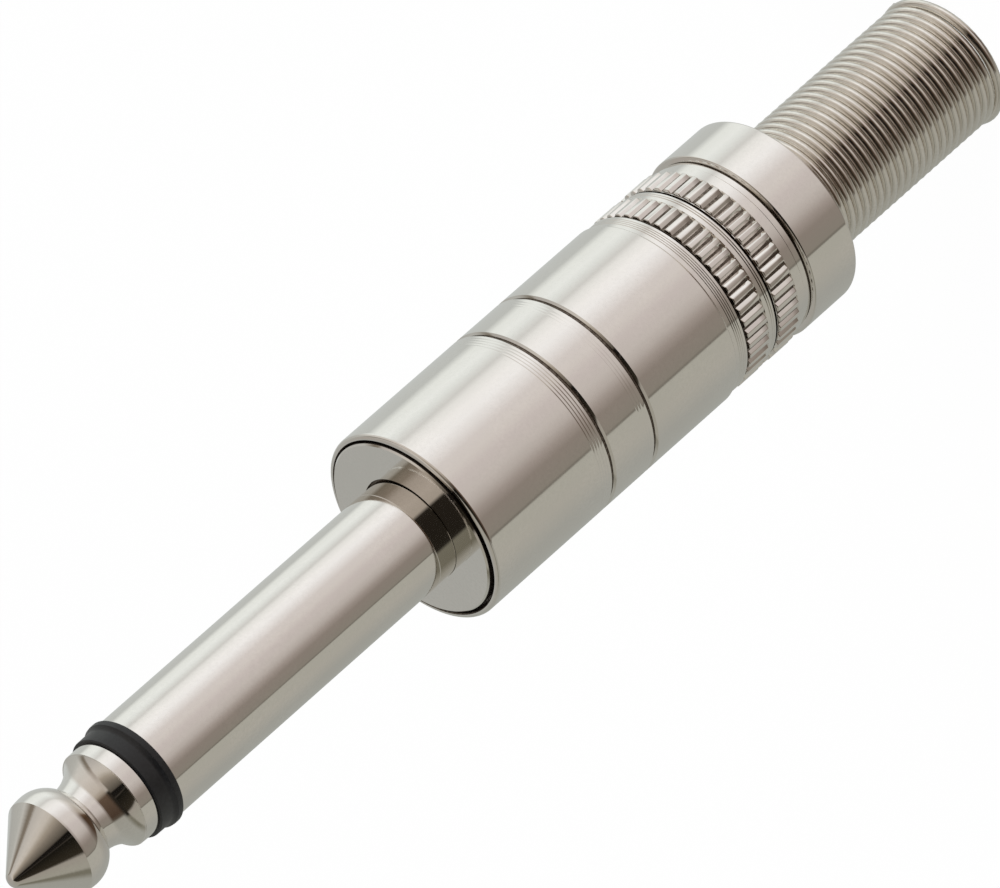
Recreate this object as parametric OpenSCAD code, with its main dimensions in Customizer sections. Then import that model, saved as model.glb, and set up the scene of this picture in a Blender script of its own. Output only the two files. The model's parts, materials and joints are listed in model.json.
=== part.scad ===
// Mono jack plug, standing on the ground end of its strain relief spring.
// Z runs along the plug's axis towards the tip; Z = 0 is the spring's end. Units are mm.

/* [Tip and sleeve] */
// Diameter of the sleeve, the standard 6.35 mm
sleeve_d = 6.35; // [6.30:0.01:6.40]
// Length of the sleeve's full diameter
sleeve_len = 20.65; // [18:0.05:22]
// Depth of the undercut neck behind the sleeve
neck_cut = 0.16; // [0.1:0.01:0.25]
// Length of the undercut neck, from the collar's face
neck_len = 1.25; // [0.8:0.05:2]
// Largest diameter of the tip's ball
ball_d = 6; // [5.9:0.01:6.1]
// How far the sharp edge between cone and ball lies inside the ball
cone_edge_drop = 0.13; // [0.05:0.01:0.2]
// Distance from the nose to the edge between cone and ball
cone_len = 3.1; // [2.8:0.05:3.4]
// Radius of the ball's profile as a share of the ball's diameter
ball_profile = 0.28; // [0.25:0.01:0.3]
// Radius of the rounded nose
nose_r = 0.65; // [0.3:0.05:0.8]
// Depth of the narrow waist behind the ball
waist_depth = 0.94; // [0.7:0.01:1.1]
// Distance from the edge between cone and ball to the waist
waist_back = 2.35; // [2.2:0.05:2.6]
// Length of the hollow scoop from the waist to the rear shoulder
scoop_len = 1.85; // [1.6:0.05:2]
// How far the shoulder's sharp edge lies inside the ball's diameter
shoulder_drop = 0.05; // [0.02:0.01:0.1]
// Length of the shoulder between its sharp edge and the insulator
shoulder_land = 0.95; // [0.8:0.05:1.1]

/* [Insulators] */
// Thickness of the black ring's flange at the sleeve
ring_flange_t = 0.75; // [0.5:0.05:1]
// Thickness of the black ring's narrower front band
ring_band_t = 0.8; // [0.5:0.05:1]
// How far the black ring's flange stands out over the sleeve
ring_proud = 0.1; // [0.05:0.01:0.12]
// How far the black ring's front band lies inside the sleeve's diameter
band_cut = 0.05; // [0.02:0.01:0.12]
// Draft of the moulded black ring, over the length of each of its bands
ring_draft = 0.02; // [0.01:0.005:0.03]
// Depth of the black ring's spigot inside the sleeve
spigot_len = 1; // [0.5:0.1:2]
// Outer diameter of the tube round the rod as a share of the shank's
tube_share = 0.7; // [0.65:0.01:0.75]
// Diameter of the rod as a share of the tube's
rod_share = 0.5; // [0.45:0.01:0.6]
// Thickness of the washer under the tip's solder lug
washer_t = 1.4; // [1:0.1:1.8]
// Radial clearance of the liner tube in the shell's bore
liner_clear = 0.3; // [0.25:0.01:0.35]
// Wall thickness of the liner tube in the shell
liner_wall = 0.3; // [0.2:0.05:0.4]
// Gap between the spring's last turn and the liner
liner_gap = 0.55; // [0.3:0.05:1]

/* [Collar] */
// Distance that the disc stands proud of the shell's rim
disc_proud = 0.18; // [0.1:0.01:0.3]
// Chamfer round the disc's edge
disc_chamfer = 0.09; // [0.05:0.01:0.15]
// How far the disc stands out over the collar's thread
disc_flange = 0.45; // [0.4:0.01:0.5]
// Length of the collar's threaded part
thread_len = 3.6; // [3:0.1:4]
// Radial clearance of the thread in the shell
thread_clear = 0.05; // [0.02:0.01:0.08]
// Radial gap between the disc and the shell's mouth
mouth_clear = 0.1; // [0.05:0.01:0.12]
// Width of the shallow relief in the disc round the neck
collar_relief_w = 0.3; // [0.2:0.01:0.4]
// Depth of the shallow relief in the disc
collar_relief_t = 0.2; // [0.1:0.05:0.4]

/* [Terminals] */
// Sheet thickness of both terminals
sheet_t = 0.6; // [0.4:0.05:0.8]
// Width of the ground terminal's strip
strip_w = 2.8; // [2.4:0.1:3]
// Length of the cable clamp's wings along the plug
clamp_len = 5; // [4:0.1:6]
// Gap between the cable clamp's open wings and the liner
clamp_clear = 0.5; // [0.4:0.05:0.6]
// Opening angle of the cable clamp
clamp_open = 140; // [120:5:170]
// Distance of the clamp's lower end from the liner's
clamp_in = 1.3; // [0.5:0.1:2]
// Diameter of the tip lug's round plate
lug_plate_d = 4.8; // [4.4:0.1:5.2]
// Width of the tip lug's strip
lug_w = 2.4; // [2:0.1:2.8]
// Length of the tip lug's strip
lug_len = 8; // [6:0.1:9]
// Diameter of the solder hole in the tip lug
solder_hole_d = 1.3; // [1:0.1:1.5]
// Thickness of the riveted ends of sleeve and rod
rivet_t = 0.4; // [0.3:0.05:0.5]
// How far the sleeve's riveted end is rolled out over the ground terminal
rivet_w = 0.5; // [0.45:0.01:0.52]
// Gap between the ground terminal's strip and the sleeve's riveted end
strip_clear = 0.15; // [0.1:0.05:0.2]
// Gap between the strip's corners and the liner
strip_play = 0.02; // [0.01:0.01:0.05]

/* [Shell] */
// Diameter of the shell's plain sections
shell_d = 12; // [11.8:0.05:12.2]
// Length of the shell
shell_len = 30; // [28:0.1:32]
// Thickness of the shell's wall round the main bore
shell_wall = 1; // [0.9:0.05:1.1]
// Width of the shell's rim round the disc
rim_w = 0.4; // [0.35:0.01:0.5]
// Depth of the step in front of the knurls
step_depth = 0.11; // [0.05:0.01:0.2]
// Depth of the three smooth grooves by the knurls
relief_depth = 0.32; // [0.25:0.01:0.4]
// How far the knurls' ribs lie below the plain sections
knurl_drop = 0.07; // [0.02:0.01:0.12]
// Depth of the knurls
knurl_depth = 0.24; // [0.15:0.01:0.26]
// Number of ribs round each knurled band
knurl_n = 48; // [40:1:60]
// Length of each knurled band
knurl_len = 1.66; // [1.4:0.02:1.7]
// Distance from the shell's front rim to the step
step_at = 19.9; // [19:0.1:20.4]
// Distance from the front rim to the front knurled band
knurl_at = 21; // [20.6:0.1:21.2]
// Width of the smooth groove between the knurled bands
between_w = 0.9; // [0.7:0.02:1]
// Width of the smooth groove behind the rear knurled band
behind_w = 1.2; // [0.8:0.1:1.4]
// Distance from the front rim to the first turned groove
groove1_at = 9.45; // [9:0.05:10]
// Distance from the front rim to the second turned groove
groove2_at = 12.95; // [12:0.05:13.5]
// Width of each turned groove
groove_w = 0.5; // [0.4:0.05:0.6]
// Depth of each turned groove
groove_depth = 0.2; // [0.1:0.02:0.24]
// Rounding of the shell's two outer edges
edge_r = 0.14; // [0.08:0.02:0.3]
// Thickness of the shell's rear wall
rear_wall = 1.2; // [1:0.1:1.6]
// How far the rear wall's lip reaches in over the main bore
rear_lip = 0.65; // [0.55:0.01:0.7]

/* [Spring] */
// Length of spring outside the shell
spring_out = 15; // [13:0.1:17]
// Radial clearance of the spring in the rear wall's hole
spring_clear = 0.225; // [0.2:0.005:0.3]
// Diameter of the spring's wire
wire_d = 0.59; // [0.5:0.01:0.6]
// Height of one turn
spring_pitch = 0.605; // [0.6:0.005:0.65]
// How far the end turn at the foot stands out
foot_out = 0.175; // [0.1:0.005:0.185]
// Radial clearance of the captive turns in the shell's bore
captive_clear = 0.25; // [0.2:0.01:0.35]
// Number of captive turns inside the shell
captive_turns = 2.5; // [2:0.5:3]

/* [Hidden] */
$fn = 96;
shell_z = spring_out;
rim_z = shell_z + shell_len;
face_z = rim_z + disc_proud;
seat_z = rim_z - 1;
thread_z = seat_z - thread_len;
sleeve_z = face_z + neck_len;
ring_z = sleeve_z + sleeve_len;
tip_z = ring_z + ring_flange_t + ring_band_t;
waist_at = cone_len + waist_back;
shoulder_at = waist_at + scoop_len;
nose_z = tip_z + shoulder_at + shoulder_land;
plate_z = thread_z - sheet_t;
shank_z = plate_z - rivet_t;
washer_z = shank_z - washer_t;
lug_z = washer_z - sheet_t;
bore_d = shell_d - 2 * shell_wall;
disc_d = shell_d - 2 * (rim_w + mouth_clear);
thread_d = disc_d - 2 * disc_flange;
rear_hole_d = bore_d - 2 * rear_lip;
spring_d = rear_hole_d - 2 * spring_clear;
foot_d = spring_d + 2 * foot_out;
captive_d = bore_d - 2 * captive_clear;
liner_d = bore_d - 2 * liner_clear;
liner_in = liner_d / 2 - liner_wall;
strip_y = sqrt(liner_in * liner_in - strip_w * strip_w / 4) - sheet_t - strip_play;
rivet_r = strip_y - strip_clear;
shank_d = 2 * (rivet_r - rivet_w);
washer_d = 2 * rivet_r - 0.2;
ground_plate_d = 2 * strip_y + sheet_t;
tube_d = shank_d * tube_share;
rod_d = tube_d * rod_share;
clamp_r = liner_in - sheet_t - clamp_clear;
neck_d = sleeve_d - 2 * neck_cut;
collar_relief_d = neck_d + 2 * collar_relief_w;
ring_flange_d = sleeve_d + 2 * ring_proud;
ring_band_d = sleeve_d - 2 * band_cut;
ball_r = ball_d * ball_profile;
cone_edge_d = ball_d - 2 * cone_edge_drop;
waist_d = ball_d - 2 * waist_depth;
shoulder_d = ball_d - 2 * shoulder_drop;
step_d = shell_d - 2 * step_depth;
relief_d = shell_d - 2 * relief_depth;
knurl_d = shell_d - 2 * knurl_drop;
spring_r = (spring_d - wire_d) / 2;
foot_r = (foot_d - wire_d) / 2;
captive_r = (captive_d - wire_d) / 2;
captive_z = shell_z + rear_wall + wire_d / 2 + 0.2;
first_z = 0.11 - wire_d / 2;
turns = (captive_z - first_z) / spring_pitch + captive_turns;
spring_top_z = captive_z + captive_turns * spring_pitch + wire_d / 2;
liner_z = spring_top_z + liner_gap;
liner_len = thread_z - 0.3 - liner_z;
clamp_z = liner_z + clamp_in;
wire_sides = 8;
wire_steps = 22;
wire_corner_r = wire_d / 2 / cos(180 / wire_sides);

function arc(cx, cy, r, a0, a1, n) =
    [for (i = [0:n]) [cx + r * cos(a0 + (a1 - a0) * i / n), cy + r * sin(a0 + (a1 - a0) * i / n)]];
function blend(t) = t <= 0 ? 0 : t >= 1 ? 1 : t * t * (3 - 2 * t);

// Ball behind the tip's cone: an arc from the sharp edge over the ball's top to the waist.
ball_a0 = acos(1 - (ball_d - cone_edge_d) / 2 / ball_r);
ball_a1 = acos(1 - (ball_d - waist_d) / 2 / ball_r);
ball_top_at = cone_len + ball_r * sin(ball_a0);
// Scoop between waist and rear shoulder: a hollow arc that ends at the shoulder's sharp edge.
scoop_h = (shoulder_d - 0.1 - waist_d) / 2;
scoop_r = (scoop_len * scoop_len + scoop_h * scoop_h) / 2 / scoop_h;
scoop_a = asin(scoop_len / scoop_r);
nose_a = 50;

module turned(points) {
    rotate_extrude() polygon(points);
}

module tip_contact() {
    color([0.80, 0.78, 0.74])
    turned(concat(
        [[0, lug_z - rivet_t], [rod_d * 0.6, lug_z - rivet_t], [rod_d * 0.75, lug_z - rivet_t / 2],
            [rod_d * 0.75, lug_z], [rod_d / 2, lug_z], [rod_d / 2, tip_z]],
        [[shoulder_d / 2 + 0.03, tip_z], [shoulder_d / 2, nose_z - shoulder_at]],
        [for (p = arc(waist_d / 2 + scoop_r, nose_z - waist_at, scoop_r, 180 + scoop_a, 180, 10)) p],
        [for (p = arc(ball_d / 2 - ball_r, nose_z - ball_top_at, ball_r, -ball_a1, ball_a0, 16)) p],
        [for (p = arc(0, nose_z - nose_r, nose_r, 90 - nose_a, 90, 6)) p]
    ));
}

module tip_insulator() {
    color([0.10, 0.10, 0.11])
    turned([
        [rod_d / 2, ring_z - spigot_len], [tube_d / 2, ring_z - spigot_len], [tube_d / 2, ring_z],
        [ring_flange_d / 2 - 0.06, ring_z], [ring_flange_d / 2, ring_z + 0.06],
        [ring_flange_d / 2 - ring_draft, ring_z + ring_flange_t - 0.12],
        [ring_flange_d / 2 - 0.1, ring_z + ring_flange_t],
        [ring_band_d / 2, ring_z + ring_flange_t], [ring_band_d / 2 - ring_draft, tip_z - 0.05],
        [ring_band_d / 2 - 0.05, tip_z], [rod_d / 2, tip_z]
    ]);
}

module rod_tube() {
    color([0.88, 0.87, 0.80])
    turned([
        [rod_d / 2, shank_z], [tube_d / 2, shank_z],
        [tube_d / 2, ring_z - spigot_len], [rod_d / 2, ring_z - spigot_len]
    ]);
}

module sleeve() {
    color([0.80, 0.78, 0.74])
    turned([
        [tube_d / 2, shank_z], [shank_d / 2 + rivet_w / 2, shank_z],
        [rivet_r, shank_z + rivet_t / 2], [rivet_r, plate_z], [shank_d / 2, plate_z],
        [shank_d / 2, face_z - collar_relief_t], [neck_d / 2, face_z - collar_relief_t],
        [neck_d / 2, sleeve_z - 0.04], [sleeve_d / 2 - 0.06, sleeve_z],
        [sleeve_d / 2, sleeve_z + 0.06], [sleeve_d / 2, ring_z - 0.05],
        [sleeve_d / 2 - 0.05, ring_z], [tube_d / 2, ring_z]
    ]);
}

module collar() {
    color([0.80, 0.78, 0.74])
    turned([
        [shank_d / 2, thread_z], [thread_d / 2 - 0.35, thread_z], [thread_d / 2, thread_z + 0.35],
        [thread_d / 2, seat_z], [disc_d / 2, seat_z], [disc_d / 2, face_z - disc_chamfer],
        [disc_d / 2 - disc_chamfer, face_z], [collar_relief_d / 2, face_z],
        [collar_relief_d / 2, face_z - collar_relief_t], [shank_d / 2, face_z - collar_relief_t]
    ]);
}

module ground_terminal() {
    color([0.78, 0.74, 0.66]) {
        difference() {
            union() {
                translate([0, 0, plate_z]) cylinder(h = sheet_t, d = ground_plate_d);
                translate([-strip_w / 2, -strip_y - sheet_t, clamp_z + 0.5])
                    cube([strip_w, sheet_t, thread_z - clamp_z - 0.5]);
            }
            translate([0, 0, plate_z - 1]) cylinder(h = sheet_t + 2, d = shank_d);
        }
        translate([0, 0, clamp_z])
            rotate_extrude(angle = 360 - clamp_open, start = clamp_open / 2 + 90)
            translate([clamp_r, 0]) square([sheet_t, clamp_len]);
    }
}

module rear_washer() {
    color([0.55, 0.36, 0.22])
    turned([
        [rod_d / 2, washer_z], [washer_d / 2, washer_z], [washer_d / 2, shank_z], [rod_d / 2, shank_z]
    ]);
}

module tip_terminal() {
    color([0.78, 0.74, 0.66])
    difference() {
        union() {
            translate([0, 0, lug_z]) cylinder(h = sheet_t, d = lug_plate_d);
            translate([-lug_w / 2, lug_plate_d / 2 - sheet_t, washer_z - lug_len])
                cube([lug_w, sheet_t, lug_len]);
        }
        translate([0, 0, lug_z - 1]) cylinder(h = sheet_t + 2, d = rod_d);
        translate([0, lug_plate_d / 2 - sheet_t - 1, washer_z - lug_len + lug_w / 2])
            rotate([-90, 0, 0]) cylinder(h = sheet_t + 2, d = solder_hole_d, $fn = 24);
    }
}

module liner() {
    color([0.86, 0.86, 0.82])
    turned([
        [liner_d / 2 - liner_wall, liner_z], [liner_d / 2, liner_z],
        [liner_d / 2, liner_z + liner_len], [liner_d / 2 - liner_wall, liner_z + liner_len]
    ]);
}

function groove(at) = [
    [shell_d / 2, rim_z - at - groove_w / 2],
    [shell_d / 2 - groove_depth, rim_z - at - groove_w / 8],
    [shell_d / 2 - groove_depth, rim_z - at + groove_w / 8],
    [shell_d / 2, rim_z - at + groove_w / 2]
];

module knurled_band(z) {
    r = knurl_d / 2;
    q = 360 / knurl_n;
    translate([0, 0, z]) linear_extrude(knurl_len)
        difference() {
            polygon([for (i = [0:knurl_n - 1], c = [[0.12, 1], [0.52, 1], [0.70, 0], [0.94, 0]])
                let (a = q * (i + c[0]), d = r - knurl_depth * (1 - c[1])) [d * cos(a), d * sin(a)]]);
            circle(r = relief_d / 2 - 0.3);
        }
}

module shell() {
    knurl_z = rim_z - knurl_at - knurl_len;
    rear_knurl_z = knurl_z - between_w - knurl_len;
    behind_z = rear_knurl_z - behind_w;
    color([0.80, 0.78, 0.74])
    union() {
        turned(concat(
            [[rear_hole_d / 2, shell_z + 0.1], [rear_hole_d / 2 + 0.1, shell_z]],
            arc(shell_d / 2 - edge_r, shell_z + edge_r, edge_r, -90, 0, 4),
            [[shell_d / 2, behind_z - 0.12], [relief_d / 2, behind_z], [relief_d / 2, knurl_z + knurl_len]],
            [[step_d / 2, knurl_z + knurl_len], [step_d / 2, rim_z - step_at],
                [shell_d / 2, rim_z - step_at + 0.11]],
            groove(groove2_at), groove(groove1_at),
            arc(shell_d / 2 - edge_r, rim_z - edge_r, edge_r, 0, 90, 4),
            [[disc_d / 2 + mouth_clear + 0.08, rim_z], [disc_d / 2 + mouth_clear, rim_z - 0.08],
                [disc_d / 2 + mouth_clear, seat_z], [thread_d / 2 + thread_clear, seat_z],
                [thread_d / 2 + thread_clear, thread_z - 0.4], [bore_d / 2, thread_z - 0.5],
                [bore_d / 2, shell_z + rear_wall], [rear_hole_d / 2, shell_z + rear_wall]]
        ));
        knurled_band(knurl_z);
        knurled_band(rear_knurl_z);
    }
}

// Wire's centre at turn t: [radius, height of its lower side, height of its upper side].
// The foot is ground flat: the lower side never goes below zero.
function wire_at(t) =
    let (zc = first_z + spring_pitch * t,
        flare = blend((t - (turns - captive_turns - 0.7)) / 0.7),
        r = spring_r + (foot_r - spring_r) * (1 - blend((t - 0.75) / 0.5))
            + (captive_r - spring_r) * flare)
    [r, max(0, zc - wire_d / 2), zc + wire_d / 2];

module strain_relief_spring() {
    steps = round(turns * wire_steps);
    rings = [for (k = [0:steps]) let (t = k / wire_steps, w = wire_at(t), a = 360 * t)
        [for (j = [0:wire_sides - 1])
            let (b = 360 * (j + 0.5) / wire_sides, r = w[0] + wire_corner_r * cos(b),
                z = (w[1] + w[2]) / 2 + (w[2] - w[1]) / 2 * sin(b) / cos(180 / wire_sides))
            [r * cos(a), r * sin(a), z]]];
    points = [for (ring = rings, p = ring) p];
    color([0.78, 0.76, 0.72])
    polyhedron(points = points, faces = concat(
        [[for (j = [0:wire_sides - 1]) j]],
        [for (k = [0:steps - 1], j = [0:wire_sides - 1])
            let (a = k * wire_sides + j, b = k * wire_sides + (j + 1) % wire_sides)
            [a, a + wire_sides, b + wire_sides]],
        [for (k = [0:steps - 1], j = [0:wire_sides - 1])
            let (a = k * wire_sides + j, b = k * wire_sides + (j + 1) % wire_sides)
            [a, b + wire_sides, b]],
        [[for (j = [0:wire_sides - 1]) steps * wire_sides + wire_sides - 1 - j]]
    ));
}

shell();
strain_relief_spring();
liner();
collar();
sleeve();
tip_contact();
tip_insulator();
rod_tube();
ground_terminal();
rear_washer();
tip_terminal();
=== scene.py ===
# %% [markdown]
# # A mono jack plug
# The CAD frame gives every solid its place. This script dresses it: each metal piece is turned again as
# a finer mesh, with the edge roundings, the turning lines, the threads and the knurls that catch the light.
# The plug stands on its spring, +Z runs along its axis to the tip, and all lengths here are in millimetres
# until they become mesh, where they are metres.

# %% The frame
import bpy, bmesh, json, math
from mathutils import Matrix, Vector

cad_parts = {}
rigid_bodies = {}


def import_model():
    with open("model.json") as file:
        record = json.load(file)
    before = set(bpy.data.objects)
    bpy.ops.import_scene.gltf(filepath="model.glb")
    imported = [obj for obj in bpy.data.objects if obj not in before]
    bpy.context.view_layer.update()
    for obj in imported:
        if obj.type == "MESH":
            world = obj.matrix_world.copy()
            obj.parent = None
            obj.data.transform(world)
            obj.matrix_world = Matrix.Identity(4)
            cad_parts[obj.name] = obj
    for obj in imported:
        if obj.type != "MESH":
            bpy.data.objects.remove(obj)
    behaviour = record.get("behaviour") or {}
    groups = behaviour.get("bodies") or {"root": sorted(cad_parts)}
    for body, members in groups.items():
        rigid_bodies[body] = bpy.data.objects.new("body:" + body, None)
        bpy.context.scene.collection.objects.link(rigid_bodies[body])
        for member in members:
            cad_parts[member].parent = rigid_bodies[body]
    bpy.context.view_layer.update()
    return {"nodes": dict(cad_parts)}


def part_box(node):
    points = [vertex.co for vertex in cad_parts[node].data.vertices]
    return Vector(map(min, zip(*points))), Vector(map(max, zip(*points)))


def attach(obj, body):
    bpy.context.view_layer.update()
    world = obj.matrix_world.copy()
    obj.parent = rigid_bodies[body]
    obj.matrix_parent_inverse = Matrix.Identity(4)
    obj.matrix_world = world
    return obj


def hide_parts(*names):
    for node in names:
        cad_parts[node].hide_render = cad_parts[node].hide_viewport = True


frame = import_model()
MM = 0.001
VIEW_AZ = math.radians(-90)

# %% [markdown]
# The heights of the seats come from the CAD nodes' own boxes, so the dressed pieces stay on them when a
# size changes in the source.

# %% Seats measured on the CAD nodes
def low(node):
    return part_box(node)[0][2] / MM

def high(node):
    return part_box(node)[1][2] / MM

def radius(node):
    """Half of the width of a round node."""
    lows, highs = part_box(node)
    return (highs[0] - lows[0]) / 2 / MM

SHELL_Z = low("shell")
RIM_Z = high("shell")
FACE_Z = high("collar")
THREAD_Z = low("collar")
SHANK_Z = low("sleeve")
RING_Z = high("sleeve")
TIP_Z = high("tip_insulator")
NOSE_Z = high("tip_contact")
SEAT_Z = RIM_Z - 1.0
SLEEVE_Z = FACE_Z + 1.25
print("rim %.2f, face %.2f, ring %.2f, nose %.2f" % (RIM_Z, FACE_Z, RING_Z, NOSE_Z))

# %% [markdown]
# Almost every piece of a plug is turned on a lathe, so one helper does a lathe's work: an outline of
# (radius, height) points is drawn, chosen corners are broken with a small bevel as a toolmaker would, and
# the outline is spun a full turn. Corners sharper than 30 degrees stay crisp, and the rest shades smoothly.

# %% A finished mesh
def show(bm, name, material, crisp=30, painted_shade=None, takes_painted_shade=None):
    """Turns a bmesh into a finished object with crisp corners; faces that the mask picks get painted shade."""
    bmesh.ops.recalc_face_normals(bm, faces=bm.faces[:])
    for face in bm.faces:
        face.smooth = True
        # Faces picked by the mask get the second material, which is painted shade.
        if takes_painted_shade and takes_painted_shade(face):
            face.material_index = 1
    for edge in bm.edges:
        edge.smooth = len(edge.link_faces) == 2 and edge.calc_face_angle() < math.radians(crisp)
    mesh = bpy.data.meshes.new(name)
    bm.to_mesh(mesh)
    bm.free()
    mesh.materials.append(material)
    if painted_shade:
        mesh.materials.append(painted_shade)
    piece = bpy.data.objects.new(name, mesh)
    bpy.context.scene.collection.objects.link(piece)
    return piece

print("helper: show")

# %% [markdown]
# A long run beside a small rounding shares a corner with it, and smooth shading then bends far into the
# run. Extra rings close to the ends of a long run hold its shading straight, which costs fewer faces than
# cutting the whole run up.

# %% Rings that hold the shading
LONG_RUN, HOLD = 0.8, 0.04

def held(outline, closed, soft):
    """Adds a point near each end of a long run, so that a rounding beside it doesn't bend its shading."""
    widths, points, moved = dict(soft), [], {}
    for i, here in enumerate(outline):
        moved[i] = len(points)
        points.append(here)
        after = (i + 1) % len(outline)
        length = math.dist(here, outline[after])
        if length > LONG_RUN and (closed or after):
            for share in ((widths.get(i, 0) + HOLD) / length, 1 - (widths.get(after, 0) + HOLD) / length):
                points.append(tuple(a + (b - a) * share for a, b in zip(here, outline[after])))
    return points, [(moved[i], width) for i, width in soft]

print("a 5 mm run gets points at", [point[1] for point in held([(0, 0), (0, 5)], False, [])[0]])

# %% [markdown]
# The lathe itself makes one vertex a point, an edge a run, and spins them. A full spin merges its last
# ring with its first, and doubles on the axis are removed, so the piece is closed at the seam and the pole.

# %% The lathe
MERGE_M = 2e-7

def turn(bm, outline, steps=128, closed=True, soft=()):
    """Spins an outline of (radius, height) points; soft lists (point index, bevel width) pairs."""
    start = len(bm.verts)
    outline, soft = held(outline, closed, soft)
    verts = [bm.verts.new((r * MM, 0, z * MM)) for r, z in outline]
    pairs = list(zip(verts, verts[1:] + verts[:1]))
    edges = [bm.edges.new(pair) for pair in (pairs if closed else pairs[:-1])]
    for index, width in soft:
        bmesh.ops.bevel(bm, geom=[verts[index]], affect="VERTICES", offset=width * MM, segments=3,
                        profile=0.5, material=-1)
    bm.verts.ensure_lookup_table()
    verts = bm.verts[start:]
    edges = list({edge for vert in verts for edge in vert.link_edges})
    bmesh.ops.spin(bm, geom=verts + edges, cent=(0, 0, 0), axis=(0, 0, 1), angle=2 * math.pi,
                   steps=steps, use_merge=True)
    bmesh.ops.remove_doubles(bm, verts=bm.verts[start:], dist=MERGE_M)

def turned(name, outline, material, steps=128, closed=True, soft=(), painted_shade=None, takes_painted_shade=None):
    bm = bmesh.new()
    turn(bm, outline, steps, closed, soft)
    piece = show(bm, name, material, painted_shade=painted_shade, takes_painted_shade=takes_painted_shade)
    print("%s: %d faces" % (name, len(piece.data.polygons)))
    return piece

print("helpers: turn, turned")

# %% [markdown]
# An arc is a run of points on a circle. It is used for the ball, the scoop behind it and the rounded nose.

# %% Arcs for outlines
def arc(cx, cz, radius, start, end, count):
    angles = [math.radians(start + (end - start) * i / count) for i in range(count + 1)]
    return [(cx + radius * math.cos(a), cz + radius * math.sin(a)) for a in angles]

print("a quarter turn in 2 steps:", [[round(c, 2) for c in point] for point in arc(0, 0, 1, 0, 90, 2)])

# %% [markdown]
# ## Finishes
# A finish is a small net of shader nodes. These helpers add what every net needs: a new material with its
# shader, one step of arithmetic, and a Map Range that turns a mask into a span of values. With them each
# finish stays a few lines long, and what differs between two finishes is easy to see.

# %% Node helpers
def new_material(name):
    material = bpy.data.materials.new(name)
    material.use_nodes = True
    nodes = material.node_tree.nodes
    return material, nodes, material.node_tree.links, nodes["Principled BSDF"]

def math_node(nodes, links, kind, first, second=None, third=None):
    node = nodes.new("ShaderNodeMath")
    node.operation = kind
    for slot, value in enumerate((first, second, third)):
        if isinstance(value, (int, float)):
            node.inputs[slot].default_value = value
        elif value is not None:
            links.new(value, node.inputs[slot])
    return node.outputs[0]

def span(nodes, links, source, low_value, high_value, from_low=0.3, from_high=0.7):
    """A Map Range node from a mask to a span of values."""
    node = nodes.new("ShaderNodeMapRange")
    node.inputs["From Min"].default_value = from_low
    node.inputs["From Max"].default_value = from_high
    node.inputs["To Min"].default_value = low_value
    node.inputs["To Max"].default_value = high_value
    links.new(source, node.inputs["Value"])
    return node.outputs["Result"]

def noise(nodes, links, place, scale, detail, distortion=0.0):
    """A noise mask; its scale is a number or another node's output."""
    node = nodes.new("ShaderNodeTexNoise")
    node.inputs["Detail"].default_value = detail
    node.inputs["Distortion"].default_value = distortion
    links.new(place, node.inputs["Vector"])
    if isinstance(scale, float):
        node.inputs["Scale"].default_value = scale
    else:
        links.new(scale, node.inputs["Scale"])
    return node.outputs["Fac"]

print("helpers: new_material, math_node, span, noise")

# %% [markdown]
# Nickel plate over turned brass is a warm grey mirror, slightly blurred by the turning marks that the
# plating keeps. The marks run round the axis, so they depend on height and radius only, never on the angle.
# All finishes use them, so they are one node group, which puts out fine rings, broad smudges and small
# specks as masks. Each material then takes them with its own strength.

# %% Marks that all finishes share
RING_SCALE, SMUDGE_SCALE, SPECK_SCALE = 9000.0, 260.0, 5200.0

def turning_marks():
    """Group: fine rings round the axis, broad smudges and small specks."""
    group = bpy.data.node_groups.new("turning_marks", "ShaderNodeTree")
    for name, value in (("Ring scale", RING_SCALE), ("Smudge scale", SMUDGE_SCALE)):
        socket = group.interface.new_socket(name, in_out="INPUT", socket_type="NodeSocketFloat")
        socket.default_value = value
    for name in ("Rings", "Smudges", "Specks"):
        group.interface.new_socket(name, in_out="OUTPUT", socket_type="NodeSocketFloat")
    nodes, links = group.nodes, group.links
    given, made = nodes.new("NodeGroupInput").outputs, nodes.new("NodeGroupOutput").inputs
    place = nodes.new("ShaderNodeTexCoord").outputs["Object"]
    split = nodes.new("ShaderNodeSeparateXYZ")
    links.new(place, split.inputs[0])
    squares = [math_node(nodes, links, "MULTIPLY", split.outputs[axis], split.outputs[axis]) for axis in "XY"]
    out = math_node(nodes, links, "SQRT", math_node(nodes, links, "ADD", *squares))
    ring_place = nodes.new("ShaderNodeCombineXYZ")
    links.new(out, ring_place.inputs["X"])
    links.new(split.outputs["Z"], ring_place.inputs["Z"])
    links.new(noise(nodes, links, ring_place.outputs[0], given["Ring scale"], 3.0), made["Rings"])
    links.new(noise(nodes, links, place, given["Smudge scale"], 4.0, 0.6), made["Smudges"])
    links.new(noise(nodes, links, place, SPECK_SCALE, 2.0), made["Specks"])
    return group

MARKS = turning_marks()
print("marks:", [item.name for item in MARKS.interface.items_tree])

# %% [markdown]
# Metals and plastics are finished alike: a colour between two close shades, a gloss that wanders with the
# smudges, and a faint relief. Plate shows smudges and specks in its colour and turning rings in its
# relief, and moulded plastic only specks, as grain. One flat value would look like paint, and a wide span
# like dirt, so the spans are small.

# %% A finish
PLATE_RELIEF, GRAIN_RELIEF, GRAIN_SMUDGES = 0.00002, 0.00003, 500.0

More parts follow.
